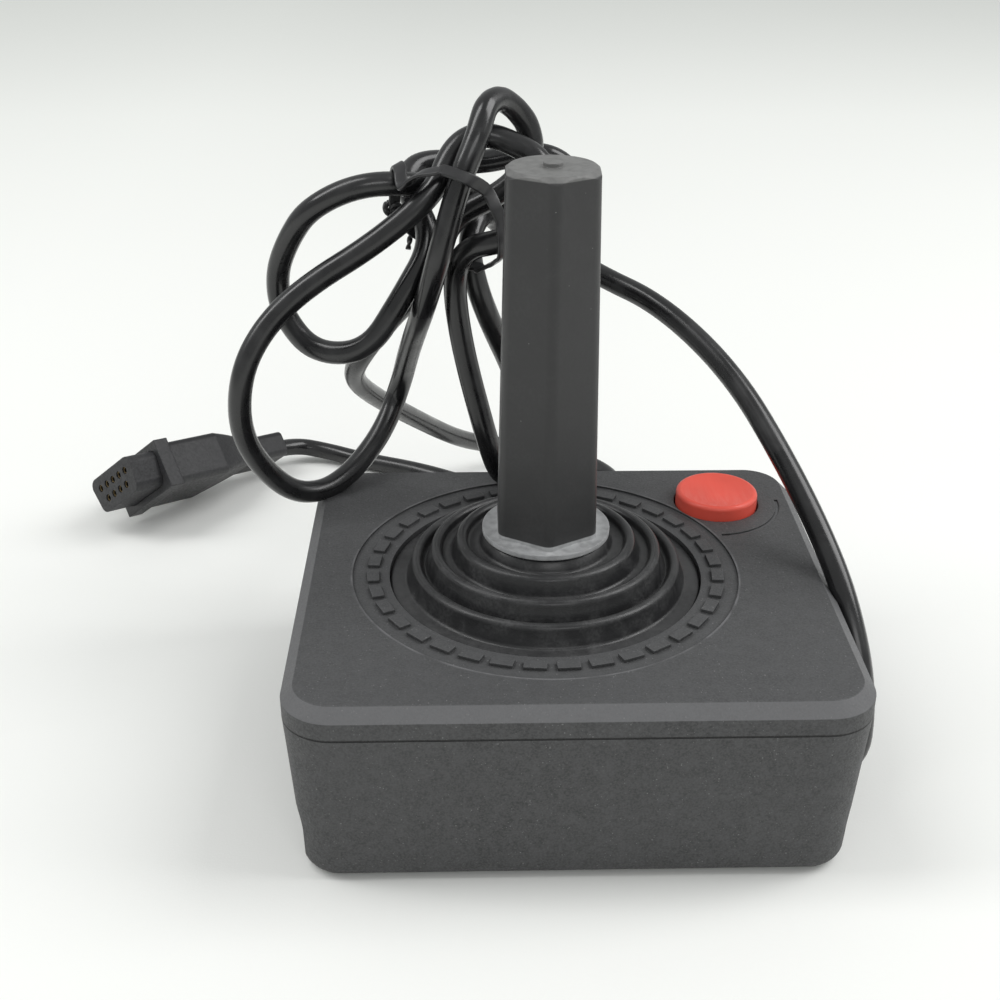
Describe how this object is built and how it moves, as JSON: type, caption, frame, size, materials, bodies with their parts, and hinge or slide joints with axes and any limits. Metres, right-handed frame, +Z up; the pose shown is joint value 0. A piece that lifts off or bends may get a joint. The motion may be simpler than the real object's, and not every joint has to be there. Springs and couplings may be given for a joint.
{
  "type": "joystick controller",
  "caption": "Desktop joystick controller with a bevelled charcoal housing, a hexagonal stick in a pleated boot, a round red fire button and a long cord tied in a hank.",
  "frame": {"origin": "centre of the housing's rectangular footprint, on the surface it stands on", "axes": "+Z up, +X to the player's right (the cord's side), +Y away from the player"},
  "size_m": [0.1526, 0.1543, 0.1094],
  "materials": {
    "case_plastic": "moulded, fine grain, charcoal",
    "grip_rubber": "soft, satin, near black",
    "button_plastic": "satin, orange red",
    "inner_plastic": "moulded, natural white",
    "board_laminate": "phenolic laminate, tan",
    "spring_steel": "bright, snap domes",
    "screw_steel": "zinc plated",
    "cord_jacket": "extruded vinyl, glossy black",
    "wire_jacket": "thin vinyl",
    "tie_plastic": "paper-covered wire, flat, dark",
    "plug_plastic": "moulded, fine grain, near black",
    "contact_metal": "plated"
  },
  "bodies": {
    "base": {"bottom_shell": "case_plastic", "top_shell": "case_plastic", "case_screws": "screw_steel", "circuit_board": "board_laminate", "contact_dome_front": "spring_steel", "contact_dome_rear": "spring_steel", "contact_dome_left": "spring_steel", "contact_dome_right": "spring_steel", "contact_dome_fire": "spring_steel", "boot": "grip_rubber", "strain_relief": "cord_jacket", "wire_header": "inner_plastic", "cord_wires": "wire_jacket", "cord_lead": "cord_jacket", "cord_hank": "cord_jacket", "cord_tail": "cord_jacket", "cord_tie": "tie_plastic", "plug_body": "plug_plastic", "plug_nose": "plug_plastic", "plug_contacts": "contact_metal"},
    "pivot": {"pivot_ball": "inner_plastic"},
    "stick": {"stick_shaft": "inner_plastic", "grip": "grip_rubber"},
    "button": {"fire_button": "button_plastic"}
  },
  "joints": [
    {"name": "stick_fore_aft", "type": "hinge", "parent": "base", "child": "pivot", "pos_m": [-0.00345, 0.00113, 0.016], "axis": [1, 0, 0], "range_deg": [-8, 8], "stiffness_Nm_per_rad": 1.5, "deforming": ["boot", "contact_dome_front", "contact_dome_rear"]},
    {"name": "stick_side", "type": "hinge", "parent": "pivot", "child": "stick", "pos_m": [-0.00345, 0.00113, 0.016], "axis": [0, 1, 0], "range_deg": [-8, 8], "stiffness_Nm_per_rad": 1.5, "deforming": ["boot", "contact_dome_left", "contact_dome_right"]},
    {"name": "fire_press", "type": "slide", "parent": "base", "child": "button", "axis": [0, 0, -1], "range_m": [0, 0.0015], "stiffness_N_per_m": 1000, "springref_m": -0.0005, "deforming": ["contact_dome_fire"]}
  ]
}
